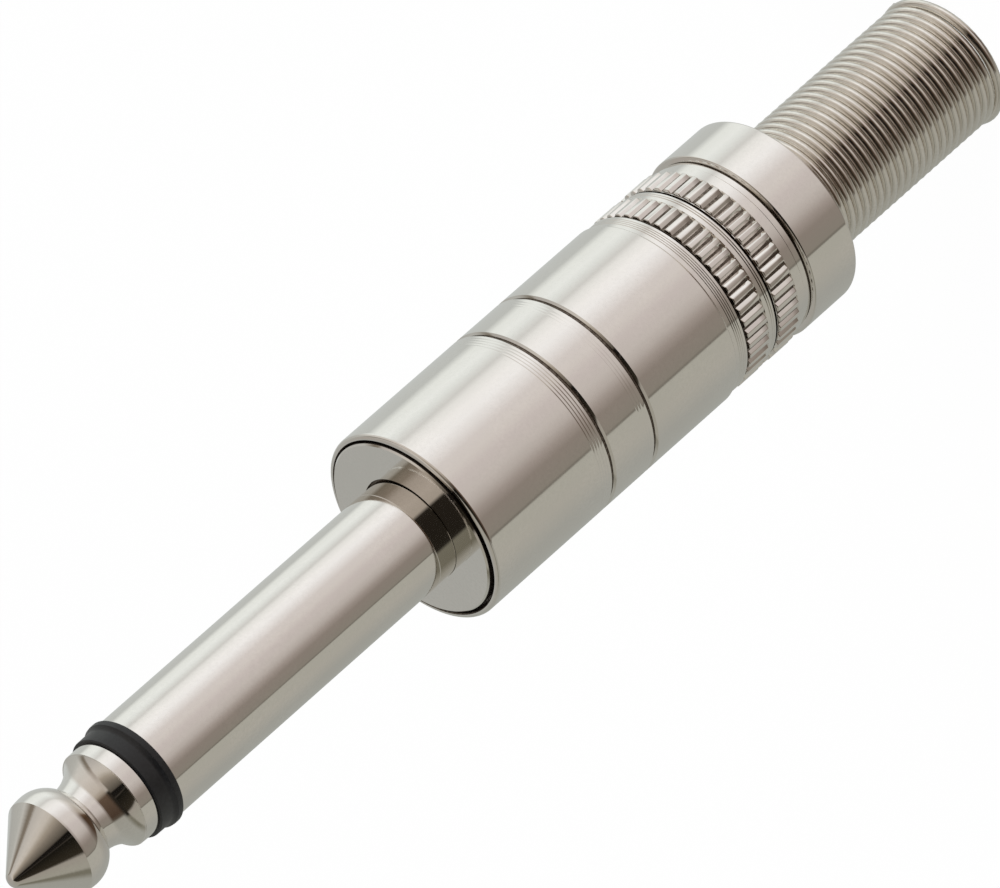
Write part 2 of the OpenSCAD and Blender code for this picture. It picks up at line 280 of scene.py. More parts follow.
def finish(name, light, dark, rough, smudge_scale, relief, strength, depth, metallic):
    """A material between two shades; relief names the mark that raises its surface."""
    material, nodes, links, shader = new_material(name)
    marks = nodes.new("ShaderNodeGroup")
    marks.node_tree = MARKS
    marks.inputs["Smudge scale"].default_value = smudge_scale
    smudges, specks = marks.outputs["Smudges"], marks.outputs["Specks"]
    worn = span(nodes, links, specks, 0, 1)
    if metallic:
        worn = math_node(nodes, links, "MULTIPLY", span(nodes, links, smudges, 0, 1),
                         span(nodes, links, specks, 0, 1, 0.35, 0.65))
    mix = nodes.new("ShaderNodeMix")
    mix.data_type = "RGBA"
    mix.inputs[6].default_value = (*dark, 1)
    mix.inputs[7].default_value = (*light, 1)
    links.new(worn, mix.inputs["Factor"])
    links.new(mix.outputs[2], shader.inputs["Base Color"])
    links.new(span(nodes, links, smudges, *rough), shader.inputs["Roughness"])
    shader.inputs["Metallic"].default_value = metallic
    bump = nodes.new("ShaderNodeBump")
    bump.inputs["Strength"].default_value = strength
    bump.inputs["Distance"].default_value = depth
    links.new(marks.outputs[relief], bump.inputs["Height"])
    links.new(bump.outputs["Normal"], shader.inputs["Normal"])
    return material

def metal(name, light, dark, rough, strength=0.04):
    return finish(name, light, dark, rough, SMUDGE_SCALE, "Rings", strength, PLATE_RELIEF, 1.0)

def plastic(name, light, dark, rough, strength):
    return finish(name, light, dark, rough, GRAIN_SMUDGES, "Specks", strength, GRAIN_RELIEF, 0.0)

print("helpers: finish, metal, plastic")

# %% [markdown]
# There are four metals: the bright nickel of the turned pieces, the same plate on the spring's drawn wire,
# a dark nickel that is painted shade for the deep corners, and the satin tin of the sheet terminals. Each
# takes two shades and the least and greatest roughness.

# %% Metals
nickel = metal("nickel_plate", (0.88, 0.855, 0.82), (0.835, 0.812, 0.778), (0.045, 0.08))
wire = metal("coil_wire", (0.88, 0.85, 0.80), (0.80, 0.77, 0.72), (0.05, 0.09), 0.03)
# Painted shade: a dark nickel for the faces in the deep corners, where shade falls.
painted_shade = metal("nickel_painted_shade", (0.30, 0.26, 0.22), (0.10, 0.08, 0.065), (0.30, 0.45), 0.1)
tinned = metal("tinned_sheet", (0.74, 0.71, 0.64), (0.60, 0.57, 0.50), (0.28, 0.42), 0.08)
print("metals:", nickel.name, wire.name, painted_shade.name, tinned.name)

# %% [markdown]
# The plastics are the black ring at the tip, the pale tube round the rod, the milky liner and the pressed
# fibre washer. Each has a faint grain and a gloss that wanders, so that none is a flat colour.

# %% Plastics and fibre
black = plastic("black_ring_plastic", (0.008, 0.0085, 0.0095), (0.005, 0.005, 0.006), (0.34, 0.48), 0.08)
tube_plastic = plastic("tube_plastic", (0.80, 0.78, 0.68), (0.72, 0.70, 0.61), (0.4, 0.5), 0.1)
milky = plastic("liner_plastic", (0.80, 0.81, 0.78), (0.72, 0.73, 0.70), (0.35, 0.5), 0.05)
fibre = plastic("pressed_fibre", (0.36, 0.15, 0.07), (0.22, 0.08, 0.035), (0.7, 0.85), 0.4)
print("plastics:", black.name, tube_plastic.name, milky.name, fibre.name)

# %% [markdown]
# ## The shell
# The shell is one turned tube with a bore for the thread at the front and a lip at the back that holds the
# spring. Outside it has, from the back: a rounded edge, a plain section, a relief with two knurled bands,
# a step, two V grooves and the front edge. Its radii and heights are named here, and the heights count
# back from the rim, because the photo shows them from there.

# %% Sizes of the shell
SHELL_R = radius("shell")
STEP_R, RELIEF_R, KNURL_R = SHELL_R - 0.11, SHELL_R - 0.32, SHELL_R - 0.07
VALLEY_R, LAND_R, CUT_R = RELIEF_R + 0.06, RELIEF_R + 0.1, RELIEF_R - 0.1
REAR_HOLE_R, BORE_R, THREAD_BORE_R, MOUTH_R = 4.35, 5.0, 5.1, 5.6
REAR_WALL, REAR_EDGE, FRONT_EDGE = 1.2, 0.14, 0.24
KNURL_N, KNURL_LEN = 48, 1.66
KNURL_Z = RIM_Z - 21.0 - KNURL_LEN
REAR_KNURL_Z = KNURL_Z - 0.9 - KNURL_LEN
BEHIND_Z = REAR_KNURL_Z - 1.2
STEP_Z = RIM_Z - 19.9
GROOVE_1, GROOVE_2, GROOVE_W, GROOVE_D = 9.51, 13.01, 0.38, 0.17
print("knurled bands from %.2f and %.2f" % (REAR_KNURL_Z, KNURL_Z))

# %% [markdown]
# The tool leaves its own marks: fine V lines in front of each groove and each knurled band, a deep narrow
# cut where a band ends, and grooves with one steep flank. They are part of the outline, as a bump map
# would not catch the light along an edge. Each helper gives its points from the back to the front.

# %% Lines, cuts and grooves
def fine_lines(surface, start, count, pitch, depth, half=0.04):
    points = []
    for i in range(count):
        z = start + pitch * i
        points += [(surface, z), (surface - depth, z + half), (surface, z + 2 * half)]
    return points

def band_end(z, land):
    """A band's valley floor, the narrow cut in front of the band and the land beyond it."""
    return [(VALLEY_R, z + 0.02 - KNURL_LEN), (VALLEY_R, z + 0.02), (CUT_R, z + 0.03), (CUT_R, z + 0.15),
            (land - 0.03, z + 0.17), (land, z + 0.2)]

def v_groove(at):
    z = RIM_Z - at
    return [(SHELL_R, z - GROOVE_W / 2), (SHELL_R - GROOVE_D * 0.75, z - GROOVE_W * 0.24),
            (SHELL_R - GROOVE_D, z - GROOVE_W / 8), (SHELL_R - GROOVE_D, z + GROOVE_W / 8),
            (SHELL_R, z + GROOVE_W / 2)]

print("a groove is drawn with", len(v_groove(GROOVE_1)), "points")

# %% [markdown]
# Now the outline is put together from the rear hole, up the outside, over the rim and back down the bore,
# and turned with enough steps that the long reflections on it have no facets.

# %% Turning the shell
outline = [(REAR_HOLE_R, SHELL_Z + 0.1), (REAR_HOLE_R + 0.1, SHELL_Z)]
outline += arc(SHELL_R - REAR_EDGE, SHELL_Z + REAR_EDGE, REAR_EDGE, -90, 0, 6)
outline += [(SHELL_R, BEHIND_Z - 0.14), (SHELL_R - 0.03, BEHIND_Z - 0.09), (SHELL_R - 0.09, BEHIND_Z - 0.05),
            (RELIEF_R - 0.06, BEHIND_Z), (RELIEF_R - 0.06, BEHIND_Z + 0.07), (RELIEF_R + 0.02, BEHIND_Z + 0.1),
            (RELIEF_R + 0.02, BEHIND_Z + 0.45), (RELIEF_R + 0.06, BEHIND_Z + 0.5),
            (RELIEF_R + 0.06, REAR_KNURL_Z - 0.09), (RELIEF_R, REAR_KNURL_Z - 0.04)]
outline += band_end(REAR_KNURL_Z + KNURL_LEN, LAND_R)
outline += fine_lines(LAND_R, REAR_KNURL_Z + KNURL_LEN + 0.32, 2, 0.15, 0.025, 0.035)
outline += [(LAND_R, KNURL_Z - 0.1), (RELIEF_R, KNURL_Z - 0.04)]
outline += band_end(KNURL_Z + KNURL_LEN, STEP_R)
outline += fine_lines(STEP_R, KNURL_Z + KNURL_LEN + 0.36, 4, 0.14, 0.02, 0.03)
outline += [(STEP_R, STEP_Z), (SHELL_R - 0.01, STEP_Z + 0.1), (SHELL_R, STEP_Z + 0.13)]
outline += v_groove(GROOVE_2) + fine_lines(SHELL_R, RIM_Z - GROOVE_2 + 0.36, 3, 0.2, 0.01)
outline += v_groove(GROOVE_1) + fine_lines(SHELL_R, RIM_Z - GROOVE_1 + 0.32, 4, 0.2, 0.011)
outline += arc(SHELL_R - FRONT_EDGE, RIM_Z - FRONT_EDGE, FRONT_EDGE, 0, 90, 8)
outline += [(MOUTH_R + 0.11, RIM_Z), (MOUTH_R + 0.05, RIM_Z - 0.06), (MOUTH_R, RIM_Z - 0.3), (MOUTH_R, SEAT_Z),
            (THREAD_BORE_R, SEAT_Z), (THREAD_BORE_R, THREAD_Z - 0.4), (BORE_R, THREAD_Z - 0.5),
            (BORE_R, SHELL_Z + REAR_WALL), (REAR_HOLE_R, SHELL_Z + REAR_WALL)]
shell_bm = bmesh.new()
turn(shell_bm, outline, steps=192)
print("shell body:", len(shell_bm.faces), "faces")

# %% [markdown]
# A straight knurl is pressed in by a wheel, which leaves ribs with sloping flanks, narrow rounded tops and
# rounded ends. One rib is a bevelled block with its flanks drawn in at the top. It stands in the valley
# floor and is repeated round the axis with a duplicating spin, which keeps every rib alike at few faces.

# %% Knurling
RIB_TOP, RIB_FOOT, RIB_TOP_LEN, RIB_BEVEL = 0.36, 1.0, 0.97, 0.05

def knurl_band(bm, z):
    pitch = 2 * math.pi * KNURL_R / KNURL_N
    rib = bmesh.ops.create_cube(bm, size=1.0)["verts"]
    for vert in rib:
        outer = vert.co.x > 0
        width = pitch * (RIB_TOP if outer else RIB_FOOT)
        long = KNURL_LEN * (RIB_TOP_LEN if outer else 1.0)
        vert.co = Vector(((KNURL_R if outer else RELIEF_R - 0.05) * MM, vert.co.y * width * MM,
                          (z + KNURL_LEN / 2 + vert.co.z * long) * MM))
    top = [e for e in {e for v in rib for e in v.link_edges}
           if sum(v.co.x > RELIEF_R * MM for v in e.verts) > 0]
    shaped = bmesh.ops.bevel(bm, geom=top, affect="EDGES", offset=RIB_BEVEL * MM, segments=3, profile=0.5,
                             material=-1)
    geom = {v for f in shaped["faces"] for v in f.verts} | {v for v in rib if v.is_valid}
    faces = {f for v in geom for f in v.link_faces}
    geom |= {v for f in faces for v in f.verts}
    all_geom = list(geom) + list({e for v in geom for e in v.link_edges}) + list(faces)
    bmesh.ops.spin(bm, geom=all_geom, cent=(0, 0, 0), axis=(0, 0, 1),
                   angle=2 * math.pi * (KNURL_N - 1) / KNURL_N, steps=KNURL_N - 1, use_duplicate=True)

knurl_band(shell_bm, KNURL_Z)
knurl_band(shell_bm, REAR_KNURL_Z)
print("with ribs:", len(shell_bm.faces), "faces")

# %% [markdown]
# Shade falls between the ribs, in the cuts, in the bottoms of the grooves, at the foot of the rear wall and
# in the mouth, and there it is painted in. The painted shade follows the shape, so it is a second material
# on just those faces, chosen by where they lie, which is crisper than a painted mask.

# %% Painted shade in the deep corners
# Inside this radius the bore gets no painted shade.
UNSHADED_BORE_R = 5.2

# Picks the faces that get painted shade: rib valleys, cuts, groove bottoms, the foot of the rear wall and the
# mouth.
def shaded_recess(face):
    middle = face.calc_center_median() / MM
    out = math.hypot(middle.x, middle.y)
    if out < UNSHADED_BORE_R:
        return False
    outward = face.normal.dot(Vector((middle.x, middle.y, 0))) / out
    bands = [middle.z - z for z in (KNURL_Z, REAR_KNURL_Z)]
    valley = out < VALLEY_R + 0.02 and outward > 0.9 and any(0 < past < KNURL_LEN for past in bands)
    cut = any(0.01 < past - KNURL_LEN < 0.18 for past in bands)
    from_grooves = [abs(middle.z - RIM_Z + at) for at in (GROOVE_1, GROOVE_2)]
    groove = out < SHELL_R - 0.1 and min(from_grooves) < GROOVE_W * 0.24
    foot = 0 < middle.z - BEHIND_Z < 0.09
    mouth = middle.z > SEAT_Z and out < MOUTH_R + 0.08
    return valley or cut or groove or foot or mouth

# The shell's recesses take the dark nickel as painted shade.
shell = show(shell_bm, "shell_turned", nickel, painted_shade=painted_shade, takes_painted_shade=shaded_recess)
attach(shell, "shell")
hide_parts("shell")
print("shell:", len(shell.data.polygons), "faces")

# %% [markdown]
# ## The threads
# A screw thread is a V outline that climbs as it turns. A spin with a step along the axis sweeps it. The
# shell's thread stands inwards from its bore and the collar's outwards from its neck, half a pitch apart,
# so their flanks pass each other with a little air, as real ones do.

# %% A swept thread
THREAD_PITCH, THREAD_HALF, CREST_HALF = 0.75, 0.30, 0.06
THREAD_FROM, THREAD_TO = THREAD_Z + 0.5, SEAT_Z - 0.5

def thread(name, root, crest, phase, body):
    bm = bmesh.new()
    turns = (THREAD_TO - THREAD_FROM) / THREAD_PITCH
    tooth = [(root, -THREAD_HALF), (crest, -CREST_HALF), (crest, CREST_HALF), (root, THREAD_HALF)]
    verts = [bm.verts.new((r * MM, 0, (THREAD_FROM + dz) * MM)) for r, dz in tooth]
    ring = bm.faces.new(verts)
    bmesh.ops.rotate(bm, verts=verts, cent=(0, 0, 0), matrix=Matrix.Rotation(phase, 3, "Z"))
    steps = int(turns * 72)
    bmesh.ops.spin(bm, geom=[ring] + ring.edges[:] + verts, cent=(0, 0, 0), axis=(0, 0, 1),
                   dvec=(0, 0, (THREAD_TO - THREAD_FROM) * MM / steps), angle=2 * math.pi * turns, steps=steps)
    piece = show(bm, name, nickel)
    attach(piece, body)
    print("%s: %.1f turns" % (name, turns))

thread("collar_thread", 4.7, 5.03, 0.0, "core")
thread("shell_thread", 5.13, 4.8, math.pi, "shell")

# %% [markdown]
# ## The collar
# The collar is a threaded bush whose polished disc closes the shell's mouth and mirrors the sleeve. It is
# turned like the shell. Its disc stands a little off the middle of the mouth, as there is play in the
# thread, which makes the dark gap round it wider on one side. The disc's side carries the painted shade of
# that gap.

# %% Collar
DISC_R, COLLAR_R, DISC_EDGE, DISC_SHIFT = radius("collar"), 4.72, 0.09, 0.06
SLEEVE_R, SHANK_R = 3.175, 2.9
NECK_R = SLEEVE_R - 0.02
# The disc's side takes the dark nickel as painted shade of the gap round it.
collar = turned("collar_turned", [
    (SHANK_R, THREAD_Z), (COLLAR_R - 0.27, THREAD_Z), (COLLAR_R, THREAD_Z + 0.3), (COLLAR_R, SEAT_Z),
    (DISC_R, SEAT_Z), (DISC_R, FACE_Z - DISC_EDGE), (DISC_R - DISC_EDGE, FACE_Z),
    (NECK_R + 0.09, FACE_Z), (NECK_R + 0.07, FACE_Z - 0.02),
    (NECK_R + 0.07, FACE_Z - 0.2), (SHANK_R, FACE_Z - 0.2)], nickel, steps=160, soft=[(4, 0.05)],
    painted_shade=painted_shade, takes_painted_shade=lambda face: SEAT_Z < face.calc_center_median().z / MM < FACE_Z - 0.1)
collar.data.transform(Matrix.Translation((DISC_SHIFT * MM, 0, 0)))
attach(collar, "core")
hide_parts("collar")

# %% [markdown]
# ## The sleeve
# The sleeve is a tube with a neck behind it that is hardly thinner. Its rear end is rolled over the ground
# terminal like a rivet. One closed outline makes the outside, both ends and the bore.

# %% Sleeve
RIVET_R = radius("sleeve")
TUBE_R = radius("rod_tube")
ROD_R = TUBE_R / 2
sleeve = turned("sleeve_turned", [
    (TUBE_R, SHANK_Z), (RIVET_R - 0.15, SHANK_Z), (RIVET_R, SHANK_Z + 0.15), (RIVET_R, SHANK_Z + 0.4),
    (SHANK_R, SHANK_Z + 0.4), (SHANK_R, FACE_Z - 0.2), (NECK_R, FACE_Z - 0.2), (NECK_R, SLEEVE_Z - 0.03),
    (SLEEVE_R - 0.06, SLEEVE_Z), (SLEEVE_R, SLEEVE_Z + 0.06), (SLEEVE_R, RING_Z - 0.05),
    (SLEEVE_R - 0.05, RING_Z), (TUBE_R, RING_Z)], nickel, steps=128, soft=[(1, 0.08)])
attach(sleeve, "core")
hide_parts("sleeve")

# %% [markdown]
# ## The tip
# The tip and its rod are one turned piece: nose, cone, ball, waist, scoop and shoulder, then the rod
# through the whole plug. Its curves are arcs that meet at the waist and at the ball's widest ring, found
# from the radii there. The ball's front is a flatter arc, so that it meets the cone at a crisp edge.

# %% Tip and rod
TOP_R = 3.0
BALL_R, EDGE_DROP, WAIST_R, SHOULDER_R = 1.68, 0.06, TOP_R - 0.94, TOP_R - 0.05
CONE_LEN, EDGE_RUN, WAIST_AT, SHOULDER_AT, NOSE_R = 3.1, 0.65, 5.45, 7.3, 0.65
front_r = (EDGE_RUN ** 2 + EDGE_DROP ** 2) / 2 / EDGE_DROP
front_a = math.degrees(math.asin(EDGE_RUN / front_r))
ball_end = math.degrees(math.acos(1 - (TOP_R - WAIST_R) / BALL_R))
ball_top = NOSE_Z - CONE_LEN - EDGE_RUN
scoop_w, scoop_h = SHOULDER_AT - WAIST_AT, SHOULDER_R - 0.05 - WAIST_R
scoop_r = (scoop_w ** 2 + scoop_h ** 2) / 2 / scoop_h
scoop_a = math.degrees(math.asin(scoop_w / scoop_r))
ROD_Z = low("tip_contact")
profile = [(0, ROD_Z), (1.2, ROD_Z), (1.4, ROD_Z + 0.08), (1.5, ROD_Z + 0.2), (1.5, ROD_Z + 0.4),
           (ROD_R, ROD_Z + 0.4), (ROD_R, TIP_Z), (SHOULDER_R, TIP_Z), (SHOULDER_R + 0.04, TIP_Z + 0.05),
           (SHOULDER_R + 0.01, NOSE_Z - SHOULDER_AT - 0.02), (SHOULDER_R - 0.01, NOSE_Z - SHOULDER_AT)]
profile += arc(WAIST_R + scoop_r, NOSE_Z - WAIST_AT, scoop_r, 180 + scoop_a, 180, 20)
profile += arc(TOP_R - BALL_R, ball_top, BALL_R, -ball_end, 0, 22)
profile += arc(TOP_R - front_r, ball_top, front_r, 0, front_a, 8)[1:]
profile += arc(0, NOSE_Z - NOSE_R, NOSE_R, 40, 90, 10)
tip = turned("tip_turned", profile, nickel, steps=128, closed=False)
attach(tip, "core")
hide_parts("tip_contact")

# %% [markdown]
# ## The insulators
# The black ring between tip and sleeve has a narrow front band and a wider rear flange, both with soft
# moulded edges. It is turned too, because a moulding that is round all over has the form of turned work.

# %% Black ring
RING_R, BAND_R, FLANGE_T = radius("tip_insulator") + 0.08, SLEEVE_R, 0.55
ring = turned("tip_ring", [
    (ROD_R, RING_Z - 1.0), (TUBE_R, RING_Z - 1.0), (TUBE_R, RING_Z), (RING_R - 0.06, RING_Z),
    (RING_R, RING_Z + 0.06), (RING_R, RING_Z + FLANGE_T - 0.3), (RING_R - 0.02, RING_Z + FLANGE_T - 0.16),
    (BAND_R + 0.03, RING_Z + FLANGE_T), (BAND_R, RING_Z + FLANGE_T + 0.12), (BAND_R - 0.01, TIP_Z - 0.06),
    (BAND_R - 0.05, TIP_Z), (ROD_R, TIP_Z)], black, steps=128)
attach(ring, "core")
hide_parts("tip_insulator")

# %% [markdown]
# The tube round the rod, the liner and the fibre washer are hidden until the shell is unscrewed. All three
# are plain rings with broken edges, so one helper makes them.

# %% Rod tube, washer and liner
def hidden_tube(name, node, body, inner, outer, z_low, z_high, material, edge):
    piece = turned(name, [(inner, z_low), (outer, z_low), (outer, z_high), (inner, z_high)], material,
                   steps=96, soft=[(i, edge) for i in (3, 2, 1, 0)])
    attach(piece, body)
    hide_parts(node)
    return piece

hidden_tube("rod_tube_round", "rod_tube", "core", ROD_R, TUBE_R, low("rod_tube"), high("rod_tube"),
            tube_plastic, 0.05)
hidden_tube("fibre_washer", "rear_washer", "core", ROD_R, radius("rear_washer"),
            low("rear_washer"), high("rear_washer"), fibre, 0.12)
liner_r = radius("liner")
hidden_tube("liner_tube", "liner", "liner", liner_r - 0.3, liner_r, low("liner"), high("liner"), milky,
            0.06)

# %% [markdown]
# ## The spring
# The strain relief is a close-wound spring. A circle of wire is swept along a rising spin. Its vertices
# come in rings, one for each step, so each ring can be moved in or out: the end turn at the foot is a bit
# wider, and the last turns inside the shell are wider still, which keeps the spring from pulling out.
# The foot is ground flat: the mesh is cut at the floor and the cut is closed.

# %% Winding the spring
WIRE_R, SPRING_PITCH, FOOT_IN = 0.295, 0.605, 0.11
CAPTIVE_R = radius("strain_relief_spring") - WIRE_R
SPRING_R, FOOT_R = 4.125 - WIRE_R, 4.3 - WIRE_R
FIRST_Z = FOOT_IN - WIRE_R
CAPTIVE_Z = SHELL_Z + REAR_WALL + WIRE_R + 0.2
TURNS = (CAPTIVE_Z - FIRST_Z) / SPRING_PITCH + 2.5
STEPS_A_TURN, WIRE_SIDES = 48, 12

def blend(t):
    t = min(max(t, 0.0), 1.0)
    return t * t * (3 - 2 * t)

def coil_radius(t):
    foot = (FOOT_R - SPRING_R) * (1 - blend((t - 0.75) / 0.5))
    captive = (CAPTIVE_R - SPRING_R) * blend((t - (TURNS - 3.2)) / 0.7)
    return SPRING_R + foot + captive

def wind_spring():
    bm = bmesh.new()
    place = Matrix.Translation((SPRING_R * MM, 0, FIRST_Z * MM)) @ Matrix.Rotation(math.pi / 2, 4, "X")
    bmesh.ops.create_circle(bm, cap_ends=True, segments=WIRE_SIDES, radius=WIRE_R * MM, matrix=place)
    steps = round(TURNS * STEPS_A_TURN)
    bmesh.ops.spin(bm, geom=bm.verts[:] + bm.edges[:] + bm.faces[:], cent=(0, 0, 0), axis=(0, 0, 1),
                   dvec=(0, 0, SPRING_PITCH * MM / STEPS_A_TURN), angle=2 * math.pi * steps / STEPS_A_TURN,
                   steps=steps)
    for vert in bm.verts:
        angle = math.atan2(vert.co.y, vert.co.x) / (2 * math.pi)
        height = (vert.co.z / MM - FIRST_Z) / SPRING_PITCH
        t = angle + round(height - angle)
        push = (coil_radius(t) - SPRING_R) * MM
        away = Vector((vert.co.x, vert.co.y, 0)).normalized()
        vert.co += away * push
    cut = bmesh.ops.bisect_plane(bm, geom=bm.verts[:] + bm.edges[:] + bm.faces[:], plane_co=(0, 0, 0),
                                 plane_no=(0, 0, 1), clear_inner=True)
    open_edges = [e for e in cut["geom_cut"] if isinstance(e, bmesh.types.BMEdge)]
    bmesh.ops.triangle_fill(bm, edges=open_edges, use_beauty=True)
    return bm

spring = show(wind_spring(), "strain_relief_coil", wire, crisp=50)
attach(spring, "spring")
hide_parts("strain_relief_spring")
print("spring: %.1f turns, %d faces" % (TURNS, len(spring.data.polygons)))

# %% [markdown]
# ## The terminals
# Both terminals are cut and bent from tinned brass sheet. The CAD solids already have their shape, so
# they stay and take the tinned finish.

# %% Terminals
for node in ("ground_terminal", "tip_terminal"):
    obj = frame["nodes"][node]
    obj.data.materials.clear()
    obj.data.materials.append(tinned)
    print("tinned:", node)

# %% [markdown]
# ## The studio
# Polished metal shows what stands round it, so most of its look is the studio. Long pale and grey panels
# stand round such a shot, and each shows as a strip along the plug. Five belts of panels lie one above
# another, from under the plug to overhead, because barrel, coils, cone and disc look up or down at
# different heights. Each belt is a list of compass angles in degrees, from behind the plug round to
# behind it again, with the colour there. Meshes with a glow would do too, but a list is quicker to tune.
# Lengths of the studio and the camera are metres.

# %% Panels round the plug
BELOW = [(-180, (0.57, 0.59, 0.57)), (-128, (0.57, 0.59, 0.57)), (-116, (0.88, 0.91, 0.88)),
         (-100, (0.93, 0.96, 0.94)), (-92, (0.86, 0.89, 0.87)), (-80, (0.71, 0.71, 0.69)),
         (-73, (0.90, 0.90, 0.88)), (-62, (1.00, 0.99, 0.98)), (-52, (0.99, 0.98, 0.98)),
         (-40, (0.86, 0.83, 0.82)), (-30, (0.74, 0.69, 0.67)), (-18, (0.72, 0.67, 0.64)),
         (-6, (0.64, 0.58, 0.56)), (10, (0.60, 0.55, 0.52)), (20, (0.52, 0.47, 0.44)),
         (30, (0.38, 0.33, 0.30)), (40, (0.28, 0.24, 0.21)), (61, (0.265, 0.24, 0.205)),
         (63, (0.13, 0.115, 0.095)), (64.5, (0.44, 0.43, 0.38)), (90, (0.445, 0.43, 0.385)),
         (120, (0.39, 0.39, 0.36)), (180, (0.38, 0.39, 0.36))]
ABOVE = [(-180, (0.43, 0.432, 0.41)), (-132, (0.40, 0.385, 0.35)), (-118, (0.19, 0.165, 0.13)),
         (-92, (0.25, 0.21, 0.17)), (-74, (0.42, 0.37, 0.325)), (-40, (0.51, 0.455, 0.405)),
         (-16, (0.46, 0.41, 0.36)), (-9, (0.02, 0.016, 0.012)), (68, (0.018, 0.015, 0.011)),
         (76, (0.20, 0.19, 0.15)), (110, (0.19, 0.18, 0.14)), (135, (0.36, 0.35, 0.31)),
         (180, (0.43, 0.432, 0.41))]
OVERHEAD = [(-180, (0.40, 0.39, 0.36)), (-140, (0.42, 0.385, 0.35)), (-122, (0.44, 0.42, 0.385)),
            (-105, (0.48, 0.455, 0.425)), (-76, (0.62, 0.58, 0.53)), (-62, (0.60, 0.55, 0.49)),
            (-47, (0.39, 0.34, 0.28)), (-30, (0.23, 0.197, 0.16)), (-12, (0.127, 0.11, 0.088)),
            (-5, (0.09, 0.075, 0.06)), (-2, (0.006, 0.005, 0.004)), (12, (0.012, 0.01, 0.008)),
            (14, (0.06, 0.05, 0.04)), (16, (0.008, 0.007, 0.005)), (60, (0.03, 0.024, 0.016)),
            (67, (0.35, 0.32, 0.28)), (90, (0.365, 0.35, 0.30)), (180, (0.40, 0.39, 0.36))]
MIDDLE = [(-180, (0.40, 0.40, 0.38)), (-128, (0.50, 0.50, 0.47)), (-110, (0.66, 0.64, 0.60)),
          (-70, (0.66, 0.61, 0.56)), (-30, (0.55, 0.49, 0.43)), (-18, (0.40, 0.34, 0.28)),
          (-6, (0.12, 0.08, 0.055)), (50, (0.07, 0.045, 0.03)), (60, (0.10, 0.08, 0.06)),
          (67, (0.36, 0.35, 0.31)), (180, (0.38, 0.39, 0.36))]
UNDER = [(-180, (0.40, 0.40, 0.38)), (-110, (0.50, 0.49, 0.46)), (-60, (0.62, 0.58, 0.53)),
         (-26, (0.46, 0.40, 0.34)), (-12, (0.13, 0.08, 0.05)), (0, (0.07, 0.04, 0.022)),
         (60, (0.08, 0.05, 0.033)), (68, (0.36, 0.34, 0.30)), (180, (0.38, 0.38, 0.36))]
print("studio panels:", [len(stops) for stops in (UNDER, BELOW, MIDDLE, ABOVE, OVERHEAD)])

# %% [markdown]
# The compass angle comes from the direction of a ray, and a colour ramp looks the panel up. A ramp takes a
# value from 0 to 1, so the angle is turned into a share of a full turn.

# %% Ramp over the compass
def compass_angle(nodes, links, split):
    """The share of a full turn from behind the plug, counted round its axis as the camera sees it."""
    angle = math_node(nodes, links, "ARCTAN2", split.outputs["Y"], split.outputs["X"])
    away = math_node(nodes, links, "SUBTRACT", angle, VIEW_AZ)
    turns = math_node(nodes, links, "MULTIPLY_ADD", away, -1 / (2 * math.pi), 0.5)
    return math_node(nodes, links, "FRACT", turns)

def panels(nodes, links, angle, stops):
    ramp = nodes.new("ShaderNodeValToRGB")
    elements = ramp.color_ramp.elements
    elements[0].position, elements[1].position = 0.0, 1.0
    elements[0].color, elements[1].color = (*stops[0][1], 1), (*stops[-1][1], 1)
    for degrees, colour in stops[1:-1]:
        elements.new((degrees + 180) / 360).color = (*colour, 1)
    links.new(angle, ramp.inputs["Fac"])
    return ramp.outputs["Color"]

print("helpers: compass_angle, panels")

# %% [markdown]
# The plug stands on a pale floor. To the camera the floor is nearly the white of the background and keeps
# a faint shadow. Reflected rays pass through it, so that the strips on the metal stay straight.

# %% Floor
FLOOR_HALF, FLOOR_DROP, FLOOR_GREY, FLOOR_WHITE = 2.0, 0.00002, 0.9, 0.97

def make_floor():
    bm = bmesh.new()
    bmesh.ops.create_grid(bm, x_segments=1, y_segments=1, size=FLOOR_HALF)
    mesh = bpy.data.meshes.new("floor")
    bm.to_mesh(mesh)
    bm.free()
    floor = bpy.data.objects.new("floor", mesh)
    floor.location.z = -FLOOR_DROP
    bpy.context.scene.collection.objects.link(floor)
    material, nodes, links, shader = new_material("pale_floor")
    shader.inputs["Base Color"].default_value = (FLOOR_GREY, FLOOR_GREY, FLOOR_GREY, 1)
    shader.inputs["Roughness"].default_value = 0.9
    shader.inputs["Specular IOR Level"].default_value = 0.0
    path = nodes.new("ShaderNodeLightPath")
    white = nodes.new("ShaderNodeEmission")
    clear = nodes.new("ShaderNodeBsdfTransparent")
    seen = nodes.new("ShaderNodeMixShader")
    seen.inputs["Fac"].default_value = FLOOR_WHITE
    links.new(shader.outputs[0], seen.inputs[1])
    links.new(white.outputs[0], seen.inputs[2])
    to_camera = nodes.new("ShaderNodeMixShader")
    links.new(path.outputs["Is Camera Ray"], to_camera.inputs["Fac"])
    links.new(shader.outputs[0], to_camera.inputs[1])
    links.new(seen.outputs[0], to_camera.inputs[2])
    to_metal = nodes.new("ShaderNodeMixShader")
    links.new(path.outputs["Is Glossy Ray"], to_metal.inputs["Fac"])
    links.new(to_camera.outputs[0], to_metal.inputs[1])
    links.new(clear.outputs[0], to_metal.inputs[2])
    links.new(to_metal.outputs[0], nodes["Material Output"].inputs["Surface"])
    mesh.materials.append(material)
    print("floor:", 2 * FLOOR_HALF, "m wide")

make_floor()

# %% [markdown]
# The world joins the belts. It starts with the belt above the horizon and lays the others over it, each
# with the height where it fades: the share goes from 0 to 1 between two heights of the ray, and the new
# belt takes either the lower or the upper side. Camera rays see plain white, and all others a soft light.

# %% World
SOFT_LIGHT = 0.55
BELTS = ((OVERHEAD, 0.505, 0.55, "upper"), (MIDDLE, 0.33, 0.46, "lower"), (BELOW, -0.18, -0.06, "lower"),
         (UNDER, -0.88, -0.62, "lower"))

